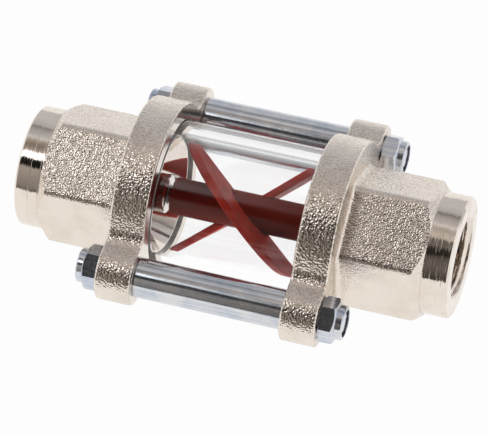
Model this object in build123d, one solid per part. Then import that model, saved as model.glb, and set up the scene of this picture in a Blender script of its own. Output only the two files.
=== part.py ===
from build123d import *

import math
import os

# An impeller flow indicator: two cast end fittings, a glass tube between them, and a free-turning
# bladed rotor inside the glass. Two tie rods in spacer sleeves pull the fittings onto the glass.
# +X is the flow direction, the tie rods lie at -Y (front) and +Y (rear), +Z is up.
# The origin is the middle of the glass on the flow axis. Sizes are in millimetres, angles in degrees.

# Sight glass and its seals
glass_window = 38.4              # clear length between the two flanges
glass_outer_diameter = 39.0
glass_wall = 3.8
glass_engagement = 3.5           # depth of each glass end inside its fitting
glass_edge_bevel = 0.4
seal_thickness = 1.5
groove_clearance = 0.3           # radial, both sides of the glass

# Flange with its two ears
flange_thickness = 9.3
flange_rim_wall = 4.3            # ring of metal outside the glass groove
flange_edge_round = 0.8
spigot_lip = 0.6                 # width of the thin lip inside the glass
spigot_setback = 0.5             # lip below the flange face
rod_standoff = 3.9               # tie rod centre outside the round flange
ear_margin = 2.35                # ear metal outside the sleeve
ear_neck_round = 4.0             # hollow corner between ear and round flange

# Wrench hexagon and collar
hexagon_across_flats = 32.0
hexagon_length = 21.3
hexagon_corner_round = 2.2
hexagon_root_round = 1.5
hexagon_end_bevel = 2.1
collar_length = 6.7
collar_step = 0.5                # collar below the flats
collar_bevel = 0.5

# Waterway: a G 1/2 female thread, bored at its crest diameter, then a stop, a seat and a cone
thread_crest_diameter = 18.63
thread_depth = 16.5
thread_mouth_bevel = 0.3
stop_length = 1.5
stop_step = 0.8
carrier_seat_diameter = 18.0
carrier_seat_length = 5.2

# Bearing carrier: ring, arms and a long nose
carrier_ring_wall = 1.0
carrier_arm_count = 3
carrier_arm_thickness = 2.0
carrier_nose_diameter = 10.0
carrier_nose_bevel = 0.2
carrier_tail_length = 1.2        # cone behind the arms, clear of the thread
nose_gap = 1.3                   # hub end to nose face
bush_length = 6.0
bush_wall = 0.95

# Rotor
hub_diameter = 9.5
hub_end_gap = 0.6                # hub end inside the flange face
hub_end_bevel = 0.4
journal_diameter = 3.8           # short neck between hub and nose, it takes the thrust
journal_gap = 0.3                # journal face to nose face
blade_tip_clearance = 1.7        # blade tip to glass
blade_thickness = 1.9
blade_slant = 41.0               # between blade and flow axis
blade_back = 1.5                 # straight edge past the flow axis
blade_edge_round = 0.35
rotor_lean = 46.0                # first blade from upright towards the front
shaft_diameter = 3.0
shaft_end_bevel = 0.3
running_clearance = 0.05         # radial, shaft in bush
end_play = 0.3                   # shaft end to the floor of its blind hole
fit_gap = 0.05                   # radial, between round pieces that are pushed together

# Tie rods
stud_diameter = 6.0
stud_end_bevel = 0.7
stud_end_setback = 0.4           # stud end inside the nut
stud_clearance = 0.3             # radial, in ears and sleeves
sleeve_wall = 1.75
sleeve_edge_bevel = 0.3
nut_across_flats = 10.0
nut_height = 6.0
nut_hexagon_height = 4.2
nut_collar_diameter = 8.8
nut_collar_round = 0.7
nut_corner_bevel = 1.25          # radial, at the collar
nut_base_bevel = 0.8             # radial, at the ear
nut_turns = {"front_inlet": 6.0, "front_outlet": 8.0, "rear_inlet": -5.0, "rear_outlet": -14.0}  # degrees about +X
insert_thickness = 1.1
insert_wall = 0.8
insert_lip = 0.35                # metal turned in over the nylon ring

# Derived radii
glass_outer_radius = glass_outer_diameter / 2
glass_inner_radius = glass_outer_radius - glass_wall
groove_outer_radius = glass_outer_radius + groove_clearance
spigot_radius = glass_inner_radius - groove_clearance
cone_mouth_radius = spigot_radius - spigot_lip
flange_radius = groove_outer_radius + flange_rim_wall
rod_offset = flange_radius + rod_standoff
stud_radius = stud_diameter / 2
stud_hole_radius = stud_radius + stud_clearance
sleeve_radius = stud_hole_radius + sleeve_wall
ear_radius = sleeve_radius + ear_margin
flat_radius = hexagon_across_flats / 2
corner_radius = (flat_radius - hexagon_corner_round) / math.cos(math.radians(30)) + hexagon_corner_round
collar_radius = flat_radius - collar_step
thread_radius = thread_crest_diameter / 2
seat_radius = carrier_seat_diameter / 2
stop_radius = seat_radius - stop_step
ring_radius = seat_radius - fit_gap
nose_radius = carrier_nose_diameter / 2
hub_radius = hub_diameter / 2
journal_radius = journal_diameter / 2
shaft_radius = shaft_diameter / 2
bush_bore_radius = shaft_radius + running_clearance
bush_radius = bush_bore_radius + bush_wall
blade_tip_radius = glass_inner_radius - blade_tip_clearance

# Derived stations along +X, for the outlet side
flange_inner_face = glass_window / 2
flange_outer_face = flange_inner_face + flange_thickness
hexagon_end = flange_outer_face + hexagon_length
fitting_end = hexagon_end + collar_length
spigot_face = flange_inner_face + spigot_setback
glass_end = flange_inner_face + glass_engagement
groove_floor = glass_end + seal_thickness
thread_start = fitting_end - thread_depth
seat_end = thread_start - stop_length
seat_start = seat_end - carrier_seat_length
hub_end = flange_inner_face - hub_end_gap
nose_face = hub_end + nose_gap
journal_end = nose_face - journal_gap
bush_end = nose_face + bush_length
shaft_end = bush_end + end_play
nose_hole_end = shaft_end + end_play
stud_end = flange_outer_face + nut_height - stud_end_setback


def turned(*points):
    """Solid of revolution about the flow axis from (station, radius) points."""
    return revolve(make_face(Polyline(*points, close=True)), Axis.X)


def tube(start, end, inner_radius, outer_radius):
    """Plain ring about the flow axis."""
    return turned((start, inner_radius), (end, inner_radius), (end, outer_radius), (start, outer_radius))


def bevelled_rod(start, end, radius, bevel):
    """Solid bar about the flow axis with both ends bevelled."""
    return turned(
        (start, 0),
        (start, radius - bevel),
        (start + bevel, radius),
        (end - bevel, radius),
        (end, radius - bevel),
        (end, 0),
    )


def hexagon_bar(start, end, across_flats, corner_round=0.0):
    """Hexagonal bar about the flow axis with two flats facing -Y and +Y."""
    outline = Rot(0, 0, 30) * RegularPolygon(across_flats / 2, 6, major_radius=False)
    if corner_round > 0:
        outline = fillet(outline.vertices(), corner_round)
    return extrude(Plane.YZ.offset(start) * outline, end - start)


def at_rod(piece, side):
    """Moves a piece from the flow axis to the front (-1) or rear (+1) tie rod."""
    return Pos(0, side * rod_offset, 0) * piece


def to_inlet(piece):
    """Turns an outlet piece round to the inlet side."""
    return Rot(0, 0, 180) * piece


def flange_plate():
    """Round flange with an ear at the front and the rear, and soft cast edges."""
    outline = Circle(flange_radius)
    for side in (-1, 1):
        outline += Pos(side * rod_offset, 0) * Circle(ear_radius)
        outline += Pos(side * rod_offset / 2, 0) * Rectangle(rod_offset, 2 * ear_radius)
    neck_reach = math.sqrt(flange_radius**2 - ear_radius**2)
    necks = [v for v in outline.vertices() if abs(abs(v.X) - neck_reach) < 0.01]
    outline = fillet(necks, ear_neck_round)
    plate = extrude(Plane.YZ.offset(flange_inner_face) * outline, flange_thickness)
    rims = plate.faces().filter_by(Axis.X).edges()
    return fillet(rims, flange_edge_round)


def waterway():
    """Everything that is bored out of the casting along the flow axis."""
    return turned(
        (flange_inner_face, 0),
        (flange_inner_face, groove_outer_radius),
        (groove_floor, groove_outer_radius),
        (groove_floor, spigot_radius),
        (spigot_face, spigot_radius),
        (spigot_face, cone_mouth_radius),
        (seat_start, seat_radius),
        (seat_end, seat_radius),
        (seat_end, stop_radius),
        (thread_start, stop_radius),
        (thread_start, thread_radius),
        (fitting_end - thread_mouth_bevel, thread_radius),
        (fitting_end, thread_radius + thread_mouth_bevel),
        (fitting_end, 0),
    )


def end_fitting():
    """One casting: collar, wrench hexagon and flange, bored through."""
    hexagon = hexagon_bar(flange_outer_face, hexagon_end, hexagon_across_flats, hexagon_corner_round)
    bevel_radius = corner_radius + hexagon_length - hexagon_end_bevel
    hexagon &= turned(
        (flange_outer_face, 0),
        (flange_outer_face, bevel_radius),
        (hexagon_end, corner_radius - hexagon_end_bevel),
        (hexagon_end, 0),
    )
    casting = flange_plate() + hexagon
    root = [
        e
        for e in casting.edges()
        if abs(e.center().X - flange_outer_face) < 0.001 and math.hypot(e.center().Y, e.center().Z) < corner_radius + 0.1
    ]
    casting = fillet(root, hexagon_root_round)
    casting += turned(
        (hexagon_end, 0),
        (hexagon_end, collar_radius),
        (fitting_end - collar_bevel, collar_radius),
        (fitting_end, collar_radius - collar_bevel),
        (fitting_end, 0),
    )
    casting -= waterway()
    for side in (-1, 1):
        casting -= at_rod(tube(flange_inner_face, flange_outer_face, 0, stud_hole_radius), side)
    return casting


def sight_glass():
    """Glass tube with both ends eased."""
    return turned(
        (-glass_end, glass_inner_radius),
        (glass_end, glass_inner_radius),
        (glass_end, glass_outer_radius - glass_edge_bevel),
        (glass_end - glass_edge_bevel, glass_outer_radius),
        (-glass_end + glass_edge_bevel, glass_outer_radius),
        (-glass_end, glass_outer_radius - glass_edge_bevel),
    )


def glass_seal():
    """Flat ring between the glass end and the groove floor."""
    return tube(glass_end, groove_floor, spigot_radius + fit_gap, groove_outer_radius - fit_gap)


def bearing_carrier():
    """Ring pressed into the casting, arms, and the nose that holds the bush."""
    carrier = tube(seat_start, seat_end, ring_radius - carrier_ring_wall, ring_radius)
    carrier += turned(
        (nose_face, 0),
        (nose_face, nose_radius - carrier_nose_bevel),
        (nose_face + carrier_nose_bevel, nose_radius),
        (seat_end, nose_radius),
        (seat_end + carrier_tail_length, nose_radius / 2),
        (seat_end + carrier_tail_length, 0),
    )
    arm_reach = ring_radius - carrier_ring_wall / 2
    arm = Pos((seat_start + seat_end) / 2, 0, arm_reach / 2) * Box(
        carrier_seat_length, carrier_arm_thickness, arm_reach
    )
    for number in range(carrier_arm_count):
        carrier += Rot(360 * number / carrier_arm_count, 0, 0) * arm
    carrier -= tube(nose_face, bush_end, 0, bush_radius + fit_gap)
    carrier -= tube(nose_face, nose_hole_end, 0, bush_bore_radius + fit_gap)
    return carrier


def bearing_bush():
    """Plain bush, flush with the nose."""
    return tube(nose_face, bush_end, bush_bore_radius, bush_radius)


def blade():
    """Flat slanting plate cut to the round of the glass, standing up from the hub."""
    plate = Rot(0, 0, -blade_slant) * Box(4 * blade_tip_radius, blade_thickness, 2 * blade_tip_radius)
    plate &= tube(-hub_end, hub_end, 0, blade_tip_radius)
    upper_half = Pos(0, 0, blade_tip_radius - blade_back) * Box(2 * hub_end, 2 * blade_tip_radius, 2 * blade_tip_radius)
    plate &= upper_half
    across_blade = Vector(math.sin(math.radians(blade_slant)), math.cos(math.radians(blade_slant)), 0)
    long_edges = [e for e in plate.edges() if abs((e @ 0 - e @ 1).dot(across_blade)) < 0.01 and e.length > blade_tip_radius]
    return fillet(long_edges, blade_edge_round)


def impeller():
    """Hub, end journals and two blades moulded in one piece, bored for the shaft."""
    rotor = bevelled_rod(-hub_end, hub_end, hub_radius, hub_end_bevel)
    rotor += tube(-journal_end, journal_end, 0, journal_radius)
    for turn in (0, 180):
        rotor += Rot(turn, 0, 0) * blade()
    rotor -= tube(-journal_end, journal_end, 0, shaft_radius + fit_gap)
    return Rot(rotor_lean, 0, 0) * rotor


def rotor_shaft():
    return bevelled_rod(-shaft_end, shaft_end, shaft_radius, shaft_end_bevel)


def tie_stud():
    return bevelled_rod(-stud_end, stud_end, stud_radius, stud_end_bevel)


def tie_sleeve():
    """Spacer tube between two ears."""
    return turned(
        (-flange_inner_face, stud_hole_radius),
        (flange_inner_face, stud_hole_radius),
        (flange_inner_face, sleeve_radius - sleeve_edge_bevel),
        (flange_inner_face - sleeve_edge_bevel, sleeve_radius),
        (-flange_inner_face + sleeve_edge_bevel, sleeve_radius),
        (-flange_inner_face, sleeve_radius - sleeve_edge_bevel),
    )


def lock_nut():
    """Self-locking nut on an ear: hexagon, then a round collar with a groove for the nylon ring."""
    corner = nut_across_flats / 2 / math.cos(math.radians(30))
    seat = flange_outer_face
    shoulder = seat + nut_hexagon_height
    end = seat + nut_height
    collar = nut_collar_diameter / 2
    slope = math.tan(math.radians(30))
    nut = hexagon_bar(seat, shoulder, nut_across_flats)
    nut &= turned(
        (seat, 0),
        (seat, corner - nut_base_bevel),
        (seat + nut_base_bevel * slope, corner),
        (shoulder - nut_corner_bevel * slope, corner),
        (shoulder, corner - nut_corner_bevel),
        (shoulder, 0),
    )
    dome = turned((shoulder, 0), (shoulder, collar), (end, collar), (end, 0))
    nut += fillet(dome.faces().sort_by(Axis.X)[-1].edges(), nut_collar_round)
    groove_end = end - insert_lip
    insert_outer = stud_radius + fit_gap + insert_wall
    nut -= tube(seat, end, 0, stud_radius + fit_gap)
    nut -= tube(groove_end - insert_thickness, groove_end, 0, insert_outer + fit_gap)
    nut -= tube(groove_end, end, 0, insert_outer - insert_lip)
    return nut


def nut_insert():
    """Nylon ring inside a lock nut's collar."""
    groove_end = flange_outer_face + nut_height - insert_lip
    inner = stud_radius + fit_gap
    return tube(groove_end - insert_thickness, groove_end, inner, inner + insert_wall)


pieces = {
    "outlet_fitting": end_fitting(),
    "outlet_seal": glass_seal(),
    "outlet_bearing_carrier": bearing_carrier(),
    "outlet_bearing_bush": bearing_bush(),
    "sight_glass": sight_glass(),
    "impeller": impeller(),
    "rotor_shaft": rotor_shaft(),
}
for name in ("fitting", "seal", "bearing_carrier", "bearing_bush"):
    pieces["inlet_" + name] = to_inlet(pieces["outlet_" + name])
for rod, side in (("front", -1), ("rear", 1)):
    pieces["tie_stud_" + rod] = at_rod(tie_stud(), side)
    pieces["tie_sleeve_" + rod] = at_rod(tie_sleeve(), side)
    outlet_nut = Rot(nut_turns[rod + "_outlet"], 0, 0) * lock_nut()
    inlet_nut = Rot(nut_turns[rod + "_inlet"], 0, 0) * to_inlet(lock_nut())
    pieces["lock_nut_" + rod + "_outlet"] = at_rod(outlet_nut, side)
    pieces["lock_nut_" + rod + "_inlet"] = at_rod(inlet_nut, side)
    pieces["nut_insert_" + rod + "_outlet"] = at_rod(nut_insert(), side)
    pieces["nut_insert_" + rod + "_inlet"] = at_rod(to_inlet(nut_insert()), side)

os.makedirs("parts", exist_ok=True)
for name, piece in pieces.items():
    export_step(piece, "parts/" + name + ".step")
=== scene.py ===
import math

import bmesh
import bpy
from mathutils import Matrix, Vector


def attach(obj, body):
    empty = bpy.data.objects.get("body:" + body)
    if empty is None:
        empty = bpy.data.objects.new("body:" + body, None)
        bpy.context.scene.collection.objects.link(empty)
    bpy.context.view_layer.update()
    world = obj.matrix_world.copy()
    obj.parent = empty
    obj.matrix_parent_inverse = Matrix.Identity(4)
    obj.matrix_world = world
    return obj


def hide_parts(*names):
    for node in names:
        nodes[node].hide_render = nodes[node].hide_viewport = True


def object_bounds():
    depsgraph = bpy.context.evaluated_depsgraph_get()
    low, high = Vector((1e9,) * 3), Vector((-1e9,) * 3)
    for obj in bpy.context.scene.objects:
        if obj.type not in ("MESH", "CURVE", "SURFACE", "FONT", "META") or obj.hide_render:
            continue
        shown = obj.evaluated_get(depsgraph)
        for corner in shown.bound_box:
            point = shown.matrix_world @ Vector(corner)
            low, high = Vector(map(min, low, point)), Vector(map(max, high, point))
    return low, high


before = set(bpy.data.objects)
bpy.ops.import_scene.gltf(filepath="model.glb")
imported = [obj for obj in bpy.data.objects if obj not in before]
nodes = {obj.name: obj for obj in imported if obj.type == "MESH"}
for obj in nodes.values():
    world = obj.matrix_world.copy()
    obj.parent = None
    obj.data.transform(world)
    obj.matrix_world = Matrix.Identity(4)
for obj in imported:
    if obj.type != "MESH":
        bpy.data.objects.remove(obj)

# The looks of an impeller flow indicator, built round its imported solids.
# +X is the flow, the tie rods lie at -Y (front) and +Y (rear), +Z is up. Lengths are metres.
cadLow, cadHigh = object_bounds()
mm = 0.001


# Shader and mesh helpers

def newMaterial(name):
    material = bpy.data.materials.new(name)
    material.use_nodes = True
    tree = material.node_tree
    tree.nodes.clear()
    output = tree.nodes.new("ShaderNodeOutputMaterial")
    shader = tree.nodes.new("ShaderNodeBsdfPrincipled")
    tree.links.new(shader.outputs["BSDF"], output.inputs["Surface"])
    return material, tree, shader


def setInput(tree, node, key, value):
    socket = node.inputs[key]
    if isinstance(value, bpy.types.NodeSocket):
        tree.links.new(value, socket)
    else:
        socket.default_value = value


def addNode(tree, kind, inputs=None, **settings):
    node = tree.nodes.new(kind)
    for key, value in settings.items():
        setattr(node, key, value)
    for key, value in (inputs or {}).items():
        setInput(tree, node, key, value)
    return node


def calc(tree, operation, *values, clamp=False):
    node = tree.nodes.new("ShaderNodeMath")
    node.operation = operation
    node.use_clamp = clamp
    for index, value in enumerate(values):
        setInput(tree, node, index, value)
    return node.outputs[0]


def smoothStep(tree, value, low, high, toLow=0.0, toHigh=1.0):
    node = addNode(tree, "ShaderNodeMapRange", interpolation_type="SMOOTHSTEP")
    setInput(tree, node, "Value", value)
    for key, number in (("From Min", low), ("From Max", high), ("To Min", toLow), ("To Max", toHigh)):
        node.inputs[key].default_value = number
    return node.outputs["Result"]


def mixColor(tree, factor, first, second, blend="MIX"):
    node = addNode(tree, "ShaderNodeMix", data_type="RGBA", blend_type=blend)
    for index, value in ((0, factor), (6, first), (7, second)):
        setInput(tree, node, index, value)
    return node.outputs[2]


def objectPlace(tree):
    return addNode(tree, "ShaderNodeTexCoord").outputs["Object"]


def noise(tree, place, scale, detail=2.0, rough=0.5):
    inputs = {"Vector": place, "Scale": scale, "Detail": detail, "Roughness": rough}
    return addNode(tree, "ShaderNodeTexNoise", inputs).outputs["Fac"]


def stretched(tree, place, along, across):
    # Scales a pattern by one number along the flow axis and another across it
    return addNode(tree, "ShaderNodeMapping", {"Vector": place, "Scale": (along, across, across)}).outputs["Vector"]


def axialRadius(tree, y, z):
    return calc(tree, "SQRT", calc(tree, "ADD", calc(tree, "MULTIPLY", y, y), calc(tree, "MULTIPLY", z, z)))


def bumped(tree, shader, height, depth):
    node = addNode(tree, "ShaderNodeBump", {"Strength": 1.0, "Distance": depth, "Height": height})
    if shader is not None:
        tree.links.new(node.outputs["Normal"], shader.inputs["Normal"])
    return node.outputs["Normal"]


def meshObject(name, mesh):
    obj = bpy.data.objects.new(name, mesh)
    bpy.context.scene.collection.objects.link(obj)
    return obj


def smoothed(mesh, sharpAngle=32.0):
    for polygon in mesh.polygons:
        polygon.use_smooth = True
    mesh.set_sharp_from_angle(angle=math.radians(sharpAngle))


def weighted(obj):
    # Area-weighted normals keep the flats flat beside their small rounds
    modifier = obj.modifiers.new("evenNormals", "WEIGHTED_NORMAL")
    modifier.keep_sharp = True
    modifier.weight = 60
    applied = bpy.data.meshes.new_from_object(obj.evaluated_get(bpy.context.evaluated_depsgraph_get()))
    obj.modifiers.clear()
    obj.data = applied
    return obj


def mergedCopy(source, name, edit=None, sharpAngle=32.0):
    mesh = bpy.data.meshes.new(name)
    work = bmesh.new()
    work.from_mesh(nodes[source].data)
    bmesh.ops.remove_doubles(work, verts=work.verts, dist=2e-7)
    if edit:
        edit(work)
    work.to_mesh(mesh)
    work.free()
    for attribute in list(mesh.attributes):
        if attribute.name == "custom_normal":
            mesh.attributes.remove(attribute)
    smoothed(mesh, sharpAngle)
    return weighted(meshObject(name, mesh))


def dress(obj, material):
    obj.data.materials.clear()
    obj.data.materials.append(material)


def finishPiece(obj, body, slotName, material, *replaced):
    dress(obj, material)
    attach(obj, body)
    if replaced:
        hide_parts(*replaced)
    return obj


def turnedMesh(name, profile, steps):
    # Closed ring about the X axis from (station, radius) points
    work = bmesh.new()
    rings = []
    for step in range(steps):
        angle = 2 * math.pi * step / steps
        across, up = -math.sin(angle), math.cos(angle)
        rings.append([work.verts.new((x, r * across, r * up)) for x, r in profile])
    for step in range(steps):
        here, there = rings[step], rings[(step + 1) % steps]
        for index in range(len(profile)):
            nextIndex = (index + 1) % len(profile)
            work.faces.new((here[index], here[nextIndex], there[nextIndex], there[index]))
    bmesh.ops.remove_doubles(work, verts=work.verts, dist=1e-8)
    bmesh.ops.recalc_face_normals(work, faces=work.faces)
    mesh = bpy.data.meshes.new(name)
    work.to_mesh(mesh)
    work.free()
    return mesh


# Finishes

castNickel = {
    "color": (0.86, 0.785, 0.715, 1.0),
    "shade": (0.79, 0.715, 0.645, 1.0),
    # Pale non-metallic colour painted into the glass groove: painted light that lifts the shade of that recess
    "groove": (0.95, 0.94, 0.92, 1.0),
    "roughness": 0.09,
    "polished": 0.05,
    "faceRoughness": 0.12,
    "grooveRoughness": 0.45,
    # Cast grain on the wrench bar and on the flange
    "barGrainSize": 0.33 * mm,
    "barGrainDepth": 0.095 * mm,
    "flangeGrainSize": 0.48 * mm,
    "flangeGrainDepth": 0.165 * mm,
    "unevenness": 0.06 * mm,
    # Where the machined surfaces are
    "flangeFace": 19.2 * mm,
    "flangeEnd": 28.6 * mm,
    "turnedFrom": 49.9 * mm,
    "boreRadius": 15.25 * mm,
    "grooveRadius": 20.1 * mm,
    "grooveEnd": 24.5 * mm,
    # Turning marks on the collars, with the roughness of their scratches at the left and the right
    "turningDepth": 0.004 * mm,
    "turningTilt": 0.14,
    "scratchRoughness": (0.1, 0.36),
    "scoredRings": (-50.4 * mm, -52.9 * mm),
    "scoredRoughness": 0.4,
}


def castNickelMaterial(values):
    material, tree, shader = newMaterial("castNickel")
    place = objectPlace(tree)
    x, y, z = addNode(tree, "ShaderNodeSeparateXYZ", {0: place}).outputs
    alongAxis = calc(tree, "ABSOLUTE", x)
    radius = axialRadius(tree, y, z)
    face, bore, edge = values["flangeFace"], values["boreRadius"], 0.1 * mm

    def between(value, middle, softness, *levels):
        return smoothStep(tree, value, middle - softness, middle + softness, *levels)

    # Machined surfaces: the collar, the bore, the glass groove and the inner face of the flange
    onCollar = between(alongAxis, values["turnedFrom"], edge)
    inBore = between(radius, bore, edge / 2, 1.0, 0.0)
    grooveWidth = calc(
        tree, "MULTIPLY",
        between(radius, values["grooveRadius"], edge, 1.0, 0.0),
        smoothStep(tree, radius, bore, bore + edge),
    )
    grooveDepth = calc(
        tree, "MULTIPLY",
        between(alongAxis, values["grooveEnd"], edge, 1.0, 0.0),
        smoothStep(tree, alongAxis, face + 0.05 * mm, face + 0.15 * mm),
    )
    inGroove = calc(tree, "MULTIPLY", grooveWidth, grooveDepth)
    onFace = smoothStep(tree, alongAxis, face + 0.03 * mm, face + 0.12 * mm, 1.0, 0.0)
    machined = calc(
        tree, "MAXIMUM", calc(tree, "MAXIMUM", onCollar, inBore), calc(tree, "MAXIMUM", inGroove, onFace)
    )
    isCast = calc(tree, "SUBTRACT", 1.0, machined)

    # Height of the cast grain and of the fine turning, in millimetres
    flangeEnd = values["flangeEnd"]
    onFlange = smoothStep(tree, alongAxis, flangeEnd - 0.2 * mm, flangeEnd + 0.4 * mm, 1.0, 0.0)

    def castGrain(size, depth):
        return calc(tree, "MULTIPLY", noise(tree, place, 1 / size, 0.0), depth / mm)

    barGrain = castGrain(values["barGrainSize"], values["barGrainDepth"])
    flangeGrain = castGrain(values["flangeGrainSize"], values["flangeGrainDepth"])
    uneven = calc(tree, "MULTIPLY", noise(tree, place, 900, 1.0), values["unevenness"] / mm)
    grain = addNode(tree, "ShaderNodeMix", {0: onFlange, 2: barGrain, 3: flangeGrain}, data_type="FLOAT").outputs[0]
    grain = calc(tree, "MULTIPLY", calc(tree, "ADD", grain, uneven), isCast)
    turning = noise(tree, stretched(tree, place, 6000, 120), 1.0, 2.0, 0.6)
    turning = calc(tree, "MULTIPLY", calc(tree, "MULTIPLY", turning, values["turningDepth"] / mm), machined)
    roughened = bumped(tree, None, calc(tree, "ADD", grain, turning), mm)

    # Turning marks tilt the surface round the axis, so that reflections end in streaks
    streak = calc(tree, "SUBTRACT", noise(tree, stretched(tree, place, 3200, 40), 1.0, 3.0, 0.7), 0.5)
    lean = calc(tree, "MULTIPLY", calc(tree, "MULTIPLY", streak, onCollar), values["turningTilt"])
    across = addNode(tree, "ShaderNodeVectorMath", {0: (1.0, 0.0, 0.0), 1: roughened}, operation="CROSS_PRODUCT")
    tilt = addNode(tree, "ShaderNodeVectorMath", {0: across.outputs[0], "Scale": lean}, operation="SCALE")
    tilted = addNode(tree, "ShaderNodeVectorMath", {0: roughened, 1: tilt.outputs[0]}, operation="ADD")
    facing = addNode(tree, "ShaderNodeVectorMath", {0: tilted.outputs[0]}, operation="NORMALIZE")
    tree.links.new(facing.outputs[0], shader.inputs["Normal"])

    tone = noise(tree, place, 160, 3.0, 0.6)
    color = mixColor(tree, smoothStep(tree, tone, 0.35, 0.75), values["color"], values["shade"])
    # Painted light: the glass groove gets a pale non-metallic colour, so its shaded recess reads bright
    tree.links.new(mixColor(tree, inGroove, color, values["groove"]), shader.inputs["Base Color"])
    tree.links.new(calc(tree, "SUBTRACT", 1.0, inGroove), shader.inputs["Metallic"])

    # Roughness: cast skin, tone, collar scratches, flange face, and the scored rings or the groove
    scored = 0.0
    for station in values["scoredRings"]:
        offset = calc(tree, "ABSOLUTE", calc(tree, "SUBTRACT", x, station))
        ring = smoothStep(tree, offset, 0.03 * mm, 0.12 * mm, values["scoredRoughness"], 0.0)
        scored = calc(tree, "ADD", scored, ring)
    scratches = smoothStep(tree, noise(tree, stretched(tree, place, 3600, 260), 1.0, 2.0, 0.6), 0.50, 0.72)
    scratchDepth = smoothStep(tree, x, -mm, mm, *values["scratchRoughness"])
    shares = (
        calc(tree, "MULTIPLY", isCast, values["roughness"]),
        calc(tree, "MULTIPLY", smoothStep(tree, tone, 0.3, 0.8), 0.03),
        calc(tree, "MULTIPLY", calc(tree, "MULTIPLY", scratches, scratchDepth), onCollar),
        calc(tree, "MULTIPLY", onFace, values["faceRoughness"]),
        calc(tree, "MAXIMUM", scored, calc(tree, "MULTIPLY", inGroove, values["grooveRoughness"])),
    )
    rough = values["polished"]
    for share in shares:
        rough = calc(tree, "ADD", rough, share)
    tree.links.new(rough, shader.inputs["Roughness"])
    return material


turnedNickel = {"color": (0.80, 0.75, 0.70, 1.0), "shade": (0.68, 0.63, 0.58, 1.0), "roughness": 0.07}
groundSteel = {"color": (0.50, 0.48, 0.46, 1.0), "shade": (0.40, 0.38, 0.36, 1.0), "roughness": 0.16}


def turnedMaterial(name, values):
    material, tree, shader = newMaterial(name)
    place = objectPlace(tree)
    marks = noise(tree, stretched(tree, place, 7000, 200), 1.0, 2.0, 0.6)
    bumped(tree, shader, marks, 0.0008 * mm)
    tone = smoothStep(tree, noise(tree, place, 240), 0.3, 0.8)
    rough = smoothStep(tree, marks, 0.3, 0.7, values["roughness"], values["roughness"] + 0.06)
    tree.links.new(mixColor(tree, tone, values["color"], values["shade"]), shader.inputs["Base Color"])
    tree.links.new(rough, shader.inputs["Roughness"])
    shader.inputs["Metallic"].default_value = 1.0
    return material


brightZinc = {
    "color": (0.81, 0.82, 0.84, 1.0),
    "shade": (0.52, 0.59, 0.71, 1.0),
    # The nuts are passivated a little bluer than the rods
    "nutColor": (0.77, 0.80, 0.85, 1.0),
    "nutShade": (0.50, 0.57, 0.74, 1.0),
    "nutsFrom": 28.65 * mm,
    "roughness": 0.07,
    "metallic": 0.88,
    "markDepth": 0.014 * mm,
}


def brightZincMaterial(values):
    material, tree, shader = newMaterial("brightZinc")
    place = objectPlace(tree)
    drawn = noise(tree, stretched(tree, place, 45, 1700), 1.0, 3.0, 0.65)
    pits = noise(tree, place, 1500, 2.0, 0.6)
    height = calc(tree, "ADD", calc(tree, "MULTIPLY", drawn, 0.8), calc(tree, "MULTIPLY", pits, 0.2))
    bumped(tree, shader, height, values["markDepth"])
    cloud = noise(tree, place, 130, 3.0, 0.6)
    tone = calc(tree, "ADD", calc(tree, "MULTIPLY", cloud, 0.5), calc(tree, "MULTIPLY", drawn, 0.5))
    patchy = smoothStep(tree, tone, 0.38, 0.66)
    alongAxis = calc(tree, "ABSOLUTE", addNode(tree, "ShaderNodeSeparateXYZ", {0: place}).outputs[0])
    onNut = smoothStep(tree, alongAxis, values["nutsFrom"] - 0.05 * mm, values["nutsFrom"])
    rodColor = mixColor(tree, patchy, values["color"], values["shade"])
    nutColor = mixColor(tree, patchy, values["nutColor"], values["nutShade"])
    rough = smoothStep(tree, pits, 0.3, 0.75, values["roughness"], values["roughness"] + 0.1)
    tree.links.new(mixColor(tree, onNut, rodColor, nutColor), shader.inputs["Base Color"])
    tree.links.new(rough, shader.inputs["Roughness"])
    shader.inputs["Metallic"].default_value = values["metallic"]
    return material


redPlastic = {
    "blade": (0.72, 0.085, 0.06, 1.0),
    "bladeShade": (0.58, 0.06, 0.042, 1.0),
    # Darker red painted on the hub as its shade
    "hub": (0.31, 0.034, 0.022, 1.0),
    "hubRadius": 4.9 * mm,
    "roughness": (0.36, 0.5),
    "gloss": 0.08,
    "index": 1.5,
    "reach": (1.0, 0.25, 0.15),
    "reachScale": 4.0 * mm,
    "skinDepth": 0.006 * mm,
}


def redPlasticMaterial(values):
    material, tree, shader = newMaterial("redPlastic")
    place = objectPlace(tree)
    y, z = addNode(tree, "ShaderNodeSeparateXYZ", {0: place}).outputs[1:]
    radius = axialRadius(tree, y, z)
    cloud = smoothStep(tree, noise(tree, place, 180, 3.0, 0.6), 0.35, 0.7)
    skin = noise(tree, place, 900)
    bumped(tree, shader, skin, values["skinDepth"])
    blade = mixColor(tree, cloud, values["blade"], values["bladeShade"])
    # Painted shade: the hub, and the blade roots close to it, are coloured a darker red, standing in for the thick
    # hub letting less light through than the blades
    hubRadius = values["hubRadius"]
    onHub = smoothStep(tree, radius, hubRadius - 0.05 * mm, hubRadius + 0.3 * mm, 1.0, 0.0)
    tree.links.new(mixColor(tree, onHub, blade, values["hub"]), shader.inputs["Base Color"])
    tree.links.new(smoothStep(tree, skin, 0.3, 0.7, *values["roughness"]), shader.inputs["Roughness"])
    shader.inputs["Subsurface Weight"].default_value = 1.0
    shader.inputs["Subsurface Radius"].default_value = values["reach"]
    shader.inputs["Subsurface Scale"].default_value = values["reachScale"]
    shader.inputs["Specular IOR Level"].default_value = values["gloss"]
    shader.inputs["IOR"].default_value = values["index"]
    return material


clearGlass = {"tint": (1.0, 1.0, 1.0, 1.0), "index": 1.45, "waveDepth": 0.004 * mm, "smearRoughness": 0.012}


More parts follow.
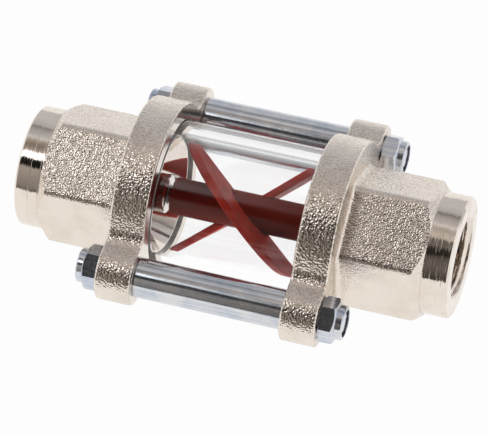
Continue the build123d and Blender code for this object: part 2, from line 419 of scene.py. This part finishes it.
def clearGlassMaterial(values):
    material, tree, shader = newMaterial("clearGlass")
    place = objectPlace(tree)
    wave = noise(tree, stretched(tree, place, 20, 90), 1.0, 1.0, 0.4)
    bumped(tree, shader, wave, values["waveDepth"])
    smear = noise(tree, place, 90, 3.0, 0.6)
    rough = smoothStep(tree, smear, 0.4, 0.8, 0.0, values["smearRoughness"])
    tree.links.new(rough, shader.inputs["Roughness"])
    shader.inputs["Base Color"].default_value = values["tint"]
    shader.inputs["Transmission Weight"].default_value = 1.0
    shader.inputs["IOR"].default_value = values["index"]
    return material


paleSeal = {
    "color": (0.80, 0.78, 0.73, 1.0), "shade": (0.70, 0.68, 0.63, 1.0),
    "roughness": 0.5, "grain": 0.4 * mm, "depth": 0.01 * mm,
}
bushPlastic = {
    "color": (0.75, 0.72, 0.64, 1.0), "shade": (0.66, 0.62, 0.54, 1.0),
    "roughness": 0.4, "grain": 0.5 * mm, "depth": 0.005 * mm,
}
darkNylon = {
    "color": (0.035, 0.04, 0.05, 1.0), "shade": (0.02, 0.024, 0.03, 1.0),
    "roughness": 0.4, "grain": 0.4 * mm, "depth": 0.005 * mm,
}


def mouldedMaterial(name, values):
    material, tree, shader = newMaterial(name)
    fine = noise(tree, objectPlace(tree), 1 / values["grain"], 2.0, 0.6)
    bumped(tree, shader, fine, values["depth"])
    color = mixColor(tree, smoothStep(tree, fine, 0.3, 0.75), values["color"], values["shade"])
    rough = smoothStep(tree, fine, 0.3, 0.7, values["roughness"], values["roughness"] + 0.12)
    tree.links.new(color, shader.inputs["Base Color"])
    tree.links.new(rough, shader.inputs["Roughness"])
    return material


print("finishes")
castMaterial = castNickelMaterial(castNickel)
nickelMaterial = turnedMaterial("turnedNickel", turnedNickel)
pinMaterial = turnedMaterial("groundSteel", groundSteel)
zincMaterial = brightZincMaterial(brightZinc)
redMaterial = redPlasticMaterial(redPlastic)
glassMaterial = clearGlassMaterial(clearGlass)
sealMaterial = mouldedMaterial("paleSeal", paleSeal)
bushMaterial = mouldedMaterial("bushPlastic", bushPlastic)
nylonMaterial = mouldedMaterial("darkNylon", darkNylon)


# Pipe threads: one Geometry Nodes tree cuts them at both ends

def threadTree():
    tree = bpy.data.node_groups.new("threadForm", "GeometryNodeTree")
    face = tree.interface
    sockets = (
        ("Start", "NodeSocketFloat", 0.0), ("End", "NodeSocketFloat", 0.01),
        ("Crest Radius", "NodeSocketFloat", 0.005), ("Depth", "NodeSocketFloat", 0.001),
        ("Pitch", "NodeSocketFloat", 0.001), ("Closing Radius", "NodeSocketFloat", 0.006),
        ("Run Out", "NodeSocketFloat", 0.001), ("Columns Per Pitch", "NodeSocketInt", 12),
        ("Angle Steps", "NodeSocketInt", 96), ("Finish", "NodeSocketMaterial", None),
    )
    for name, kind, start in sockets:
        socket = face.new_socket(name=name, in_out="INPUT", socket_type=kind)
        if start is not None:
            socket.default_value = start
    face.new_socket(name="Geometry", in_out="OUTPUT", socket_type="NodeSocketGeometry")
    given = {socket.name: socket for socket in tree.nodes.new("NodeGroupInput").outputs}

    def op(operation, *values, clamp=False):
        return calc(tree, operation, *values, clamp=clamp)

    def choose(switch, whenOn, whenOff):
        return op("ADD", op("MULTIPLY", whenOff, op("SUBTRACT", 1.0, switch)), op("MULTIPLY", whenOn, switch))

    start, end, pitch = given["Start"], given["End"], given["Pitch"]
    perPitch = given["Columns Per Pitch"]
    length = op("SUBTRACT", end, start)
    # Grid columns run along the helix: one closing column, the thread, then two closing columns
    turnedColumns = op("CEIL", op("MULTIPLY", op("DIVIDE", length, pitch), perPitch))
    threadColumns = op("ADD", turnedColumns, op("ADD", perPitch, 1))
    columns = op("ADD", threadColumns, 3)
    rows = op("ADD", given["Angle Steps"], 1)
    gridSizes = {"Size X": 1.0, "Size Y": 1.0, "Vertices X": columns, "Vertices Y": rows}
    grid = addNode(tree, "GeometryNodeMeshGrid", gridSizes)
    position = tree.nodes.new("GeometryNodeInputPosition")
    gridX, gridY = addNode(tree, "ShaderNodeSeparateXYZ", {0: position.outputs[0]}).outputs[:2]
    column = op("ROUND", op("MULTIPLY", op("ADD", gridX, 0.5), op("SUBTRACT", columns, 1)))
    turn = op("ADD", gridY, 0.5)
    angle = op("MULTIPLY", turn, 2 * math.pi)
    inThread = op("SUBTRACT", column, 1)
    helix = op("ADD", op("DIVIDE", op("SUBTRACT", inThread, perPitch), perPitch), turn)
    station = op("MINIMUM", op("MAXIMUM", op("ADD", start, op("MULTIPLY", helix, pitch)), start), end)
    # A triangle wave with a narrow flat at each crest and root
    phase = op("FRACT", op("DIVIDE", inThread, perPitch))
    wave = op("ABSOLUTE", op("SUBTRACT", op("MULTIPLY", phase, 2.0), 1.0))
    flat = 0.12
    profile = op("DIVIDE", op("SUBTRACT", wave, flat), 1 - 2 * flat, clamp=True)
    distance = op("MINIMUM", op("SUBTRACT", station, start), op("SUBTRACT", end, station))
    runOut = op("MAXIMUM", op("SUBTRACT", 1.05, op("DIVIDE", distance, given["Run Out"])), 0.0)
    depth = op("MULTIPLY", given["Depth"], op("MAXIMUM", profile, runOut))
    threadRadius = op("ADD", given["Crest Radius"], depth)
    isFirst = op("LESS_THAN", column, 0.5)
    isClosing = op("GREATER_THAN", column, op("SUBTRACT", columns, 2.5))
    isLast = op("GREATER_THAN", column, op("SUBTRACT", columns, 1.5))
    atClosing = op("MAXIMUM", isFirst, isClosing)
    atStart = op("MAXIMUM", isFirst, isLast)
    radius = choose(atClosing, given["Closing Radius"], threadRadius)
    finalStation = choose(atClosing, choose(atStart, start, end), station)
    across, up = op("MULTIPLY", radius, op("COSINE", angle)), op("MULTIPLY", radius, op("SINE", angle))
    place = addNode(tree, "ShaderNodeCombineXYZ", {0: finalStation, 1: across, 2: up})
    move = addNode(tree, "GeometryNodeSetPosition", {"Geometry": grid.outputs["Mesh"], "Position": place.outputs[0]})
    merge = addNode(tree, "GeometryNodeMergeByDistance", {"Geometry": move.outputs[0], "Distance": 2e-6})
    realize = addNode(tree, "GeometryNodeRealizeInstances", {0: merge.outputs[0]})
    finish = addNode(tree, "GeometryNodeSetMaterial", {"Geometry": realize.outputs[0], "Material": given["Finish"]})
    tree.links.new(finish.outputs[0], tree.nodes.new("NodeGroupOutput").inputs[0])
    return tree


def grown(name, tree, values):
    # Runs a Geometry Nodes tree and keeps its result as a plain mesh
    obj = meshObject(name, bpy.data.meshes.new(name + "Seed"))
    modifier = obj.modifiers.new("grow", "NODES")
    modifier.node_group = tree
    for item in tree.interface.items_tree:
        if item.item_type == "SOCKET" and item.in_out == "INPUT" and item.name in values:
            modifier[item.identifier] = values[item.name]
    mesh = bpy.data.meshes.new_from_object(obj.evaluated_get(bpy.context.evaluated_depsgraph_get()))
    mesh.name = name
    bpy.data.objects.remove(obj)
    return mesh


def closedMesh(mesh, transform, sharpAngle=30.0):
    work = bmesh.new()
    work.from_mesh(mesh)
    bmesh.ops.transform(work, matrix=transform, verts=work.verts)
    bmesh.ops.remove_doubles(work, verts=work.verts, dist=1e-7)
    bmesh.ops.dissolve_degenerate(work, edges=work.edges, dist=1e-8)
    bmesh.ops.recalc_face_normals(work, faces=work.faces)
    work.to_mesh(mesh)
    work.free()
    smoothed(mesh, sharpAngle)


# End fittings

endFitting = {
    "threadStart": 40.0 * mm,
    "end": 56.5 * mm,
    "crestRadius": 9.315 * mm,
    "threadDepth": 1.16 * mm,
    "pitch": 1.814 * mm,
    "linerRadius": 10.9 * mm,
    "mouthRunOut": 1.5 * mm,
    "columnsPerPitch": 12,
    "angleSteps": 96,
}


def widenBore(work):
    # Makes room for the thread piece inside the casting
    for vert in work.verts:
        station, radius = abs(vert.co.x), math.hypot(vert.co.y, vert.co.z)
        if station > endFitting["threadStart"] - 1e-6 and abs(radius - endFitting["crestRadius"]) < 0.4 * mm:
            factor = endFitting["linerRadius"] / radius
            vert.co.y *= factor
            vert.co.z *= factor


def buildFittings(values):
    tree = threadTree()
    sizes = {
        "Start": values["threadStart"], "End": values["end"], "Crest Radius": values["crestRadius"],
        "Depth": values["threadDepth"], "Pitch": values["pitch"], "Closing Radius": values["linerRadius"],
        "Run Out": values["mouthRunOut"], "Columns Per Pitch": values["columnsPerPitch"],
        "Angle Steps": values["angleSteps"], "Finish": castMaterial,
    }
    for side, turn in (("outlet", 0.0), ("inlet", math.pi)):
        casting = mergedCopy(side + "_fitting", side + "Fitting", widenBore)
        finishPiece(casting, "housing", "nickel_casting", castMaterial, side + "_fitting")
        mesh = grown(side + "Thread", tree, sizes)
        closedMesh(mesh, Matrix.Rotation(turn, 4, "Z"))
        finishPiece(meshObject(side + "Thread", mesh), "housing", "nickel_turned", castMaterial)


print("end fittings")
buildFittings(endFitting)


# Sight glass

sightGlass = {"halfLength": 22.7 * mm, "inner": 15.7 * mm, "outer": 19.5 * mm, "bevel": 0.4 * mm, "steps": 192}


def buildGlass(values):
    h, i, o, b = (values[key] for key in ("halfLength", "inner", "outer", "bevel"))
    inside = [(-h, i + 0.5 * b), (-h + 0.5 * b, i), (h - 0.5 * b, i), (h, i + 0.5 * b)]
    outside = [(h, o - b), (h - b, o), (-h + b, o), (-h, o - b)]
    mesh = turnedMesh("sightTube", inside + outside, values["steps"])
    smoothed(mesh, 30)
    finishPiece(weighted(meshObject("sightTube", mesh)), "housing", "clear_glass", glassMaterial, "sight_glass")


print("sight glass")
buildGlass(sightGlass)


# Impeller

impellerEdge = 40.0  # degrees between faces that stays a sharp edge

print("impeller")
finishPiece(mergedCopy("impeller", "rotor", None, impellerEdge), "rotor", "red_plastic", redMaterial, "impeller")


# Lock nuts

lockNut = {"edgeRound": 0.14 * mm, "steps": 2, "cornersFrom": 24.0, "sharpFrom": 50.0}


def roundEdges(work):
    bmesh.ops.dissolve_limit(work, angle_limit=math.radians(1.5), verts=work.verts, edges=work.edges)
    corner = math.radians(lockNut["cornersFrom"])
    edges = [edge for edge in work.edges if len(edge.link_faces) == 2 and edge.calc_face_angle(0) > corner]
    bmesh.ops.bevel(
        work, geom=edges, offset=lockNut["edgeRound"], offset_type="OFFSET", segments=lockNut["steps"],
        profile=0.5, affect="EDGES", clamp_overlap=True,
    )


print("lock nuts")
for rod in ("front", "rear"):
    for side in ("inlet", "outlet"):
        source = "lock_nut_" + rod + "_" + side
        nut = mergedCopy(source, rod + side.capitalize() + "Nut", roundEdges, lockNut["sharpFrom"])
        finishPiece(nut, "housing", "zinc_steel", zincMaterial, source)


# Small pieces keep their solids and get their finish

smallFinishes = {
    "nut_insert": nylonMaterial, "tie_": zincMaterial, "seal": sealMaterial,
    "bush": bushMaterial, "carrier": nickelMaterial, "shaft": pinMaterial,
}

print("small pieces")
for name, node in nodes.items():
    for word, material in smallFinishes.items():
        if word in name:
            dress(node, material)


# Floor, light and camera

studio = {
    "floorSize": 3.0,
    "floorColor": (0.92, 0.92, 0.92, 1.0),
    "floorGlow": 0.975,
    "floorMirrored": (0.965, 0.95, 0.925, 1.0),
    # Surroundings that the metal mirrors: degrees from straight up towards the front, grey, brownness
    "roomLeft": (
        (-180, 0.95, 0), (-112, 0.90, 0), (-101, 0.70, 0), (-94, 0.58, 0), (-58, 0.59, 0), (-50, 0.53, 0),
        (-43, 0.50, 0), (-38, 0.24, 0.3), (-34, 0.36, 0.3), (-26, 0.46, 0), (-19, 0.52, 0), (-13, 0.70, 0.1),
        (-9, 0.45, 0.8), (-3, 0.29, 1.3), (4, 0.25, 1.3), (10, 0.35, 1.1), (14, 0.55, 0.6), (17, 1.0, 0),
        (26, 1.0, 0), (29.5, 0.03, 0), (31, 0.012, 0.5), (43, 0.01, 0.5), (46.5, 0.40, 0.9), (59, 0.35, 0.8),
        (84, 0.25, 0.8), (88, 0.13, 0.8), (92, 0.14, 0.8), (95.5, 0.80, 0), (100, 0.88, 0), (140, 0.97, 0),
        (180, 0.95, 0),
    ),
    "roomRight": (
        (-180, 0.95, 0), (-112, 0.93, 0), (-103, 0.87, 0), (-95, 0.66, 0), (-90, 0.575, 0), (-60, 0.57, 0),
        (-52, 0.52, 0), (-44, 0.45, 0), (-38.5, 0.18, 0.3), (-35, 0.30, 0.3), (-28, 0.44, 0.4), (-19, 0.52, 0.4),
        (-12.5, 0.78, 0.3), (-8, 0.50, 0.8), (-3, 0.42, 0.9), (1, 0.55, 0.8), (8, 0.62, 0.8), (13, 0.56, 1),
        (15.5, 0.13, 1), (27, 0.14, 1), (31, 0.05, 1), (34, 0.03, 1), (43, 0.018, 1), (47, 0.08, 1),
        (52, 0.11, 1), (66, 0.123, 1.1), (84, 0.07, 1.1), (91, 0.045, 1.2), (96, 0.6, 0.3), (100, 0.80, 0.2),
        (140, 0.95, 0.1), (180, 0.95, 0),
    ),
    "roomSplit": (-0.25, -0.18),
    "panelStart": (0.78, 0.90),
    "keyPower": 0.66,
    "keyPlace": (-0.614, -0.3225, 0.8),
    "keySize": (0.772, 0.187),
}


def roomRamp(tree, turn, levels):
    ramp = tree.nodes.new("ShaderNodeValToRGB")
    tree.links.new(turn, ramp.inputs[0])
    stops = ramp.color_ramp.elements
    while len(stops) > 1:
        stops.remove(stops[0])
    for index, (degrees, level, brown) in enumerate(levels):
        stop = stops[0] if index == 0 else stops.new(degrees / 360 + 0.5)
        stop.position = degrees / 360 + 0.5
        blue = 1.02 - 0.24 * brown if level < 0.8 else 1.0
        stop.color = (level, level * (1 - 0.12 * brown), level * blue, 1)
    return ramp.outputs[0]


def buildFloor(values):
    bpy.ops.mesh.primitive_plane_add(size=values["floorSize"], location=(0, 0, cadLow.z))
    floor = bpy.context.object
    floor.name = "floor"
    material = bpy.data.materials.new("palePaper")
    material.use_nodes = True
    tree = material.node_tree
    tree.nodes.clear()
    output = tree.nodes.new("ShaderNodeOutputMaterial")
    diffuse = addNode(tree, "ShaderNodeBsdfDiffuse", {"Color": values["floorColor"]})
    path = tree.nodes.new("ShaderNodeLightPath")
    fromCamera, fromMirror, throughGlass = (
        path.outputs[kind] for kind in ("Is Camera Ray", "Is Glossy Ray", "Is Transmission Ray")
    )
    mirrored = calc(tree, "MULTIPLY", fromMirror, calc(tree, "SUBTRACT", 1.0, throughGlass))
    glowColor = mixColor(tree, mirrored, (1, 1, 1, 1), values["floorMirrored"])
    glow = addNode(tree, "ShaderNodeEmission", {"Color": glowColor, "Strength": 1.0})
    seen = calc(tree, "MULTIPLY", calc(tree, "MAXIMUM", fromCamera, fromMirror), values["floorGlow"])
    seen = calc(tree, "MAXIMUM", seen, throughGlass)
    mix = addNode(tree, "ShaderNodeMixShader", {0: seen, 1: diffuse.outputs[0], 2: glow.outputs[0]})
    tree.links.new(mix.outputs[0], output.inputs[0])
    floor.data.materials.append(material)


def buildRoom(values):
    world = bpy.data.worlds.new("studio")
    bpy.context.scene.world = world
    world.use_nodes = True
    tree = world.node_tree
    tree.nodes.clear()
    output = tree.nodes.new("ShaderNodeOutputWorld")
    direction = addNode(tree, "ShaderNodeTexCoord").outputs["Generated"]
    parts = addNode(tree, "ShaderNodeSeparateXYZ", {0: direction})
    lean = calc(tree, "ARCTAN2", calc(tree, "MULTIPLY", parts.outputs[1], -1.0), parts.outputs[2])
    turn = calc(tree, "ADD", calc(tree, "DIVIDE", lean, 2 * math.pi), 0.5)
    left, right = (roomRamp(tree, turn, values[key]) for key in ("roomLeft", "roomRight"))
    split = smoothStep(tree, parts.outputs[0], *values["roomSplit"])
    sides = smoothStep(tree, calc(tree, "ABSOLUTE", parts.outputs[0]), *values["panelStart"])
    color = mixColor(tree, sides, mixColor(tree, split, left, right), (1, 1, 1, 1))
    room = addNode(tree, "ShaderNodeBackground", {"Color": color, "Strength": 1.0})
    white = addNode(tree, "ShaderNodeBackground", {"Color": (1, 1, 1, 1), "Strength": 1.0})
    path = tree.nodes.new("ShaderNodeLightPath")
    fromCamera = path.outputs["Is Camera Ray"]
    mix = addNode(tree, "ShaderNodeMixShader", {0: fromCamera, 1: room.outputs[0], 2: white.outputs[0]})
    tree.links.new(mix.outputs[0], output.inputs[0])


def buildLamp(values):
    light = bpy.data.lights.new("softbox", "AREA")
    light.shape = "RECTANGLE"
    light.size, light.size_y = values["keySize"]
    light.energy = values["keyPower"]
    lamp = bpy.data.objects.new("softbox", light)
    bpy.context.scene.collection.objects.link(lamp)
    lamp.location = values["keyPlace"]


# Where the photograph was taken from, in degrees, lengths and pixels
view = {
    "azimuth": 19.23, "elevation": 49.54, "roll": -2.53, "distance": 843.63 * mm,
    "right": -0.43 * mm, "up": -1.82 * mm, "focalPixels": 3341.18, "imageWidth": 487,
}


def buildCamera(values):
    a, e, r = (math.radians(values[key]) for key in ("azimuth", "elevation", "roll"))
    back = Vector((math.sin(a) * math.cos(e), -math.cos(a) * math.cos(e), math.sin(e)))
    right = Vector((math.cos(a), math.sin(a), 0))
    up = back.cross(right)
    right, up = math.cos(r) * right + math.sin(r) * up, -math.sin(r) * right + math.cos(r) * up
    data = bpy.data.cameras.new("camera")
    data.lens = values["focalPixels"] / values["imageWidth"] * data.sensor_width
    data.clip_start, data.clip_end = 0.05, 20
    camera = bpy.data.objects.new("camera", data)
    bpy.context.scene.collection.objects.link(camera)
    place = values["distance"] * back + values["right"] * right + values["up"] * up
    axes = Matrix((right, up, back)).transposed()
    camera.matrix_world = Matrix.Translation(place) @ axes.to_4x4()
    bpy.context.scene.camera = camera


print("floor, light and camera")
buildFloor(studio)
buildRoom(studio)
buildLamp(studio)
buildCamera(view)
bpy.context.scene.view_settings.view_transform = "Standard"
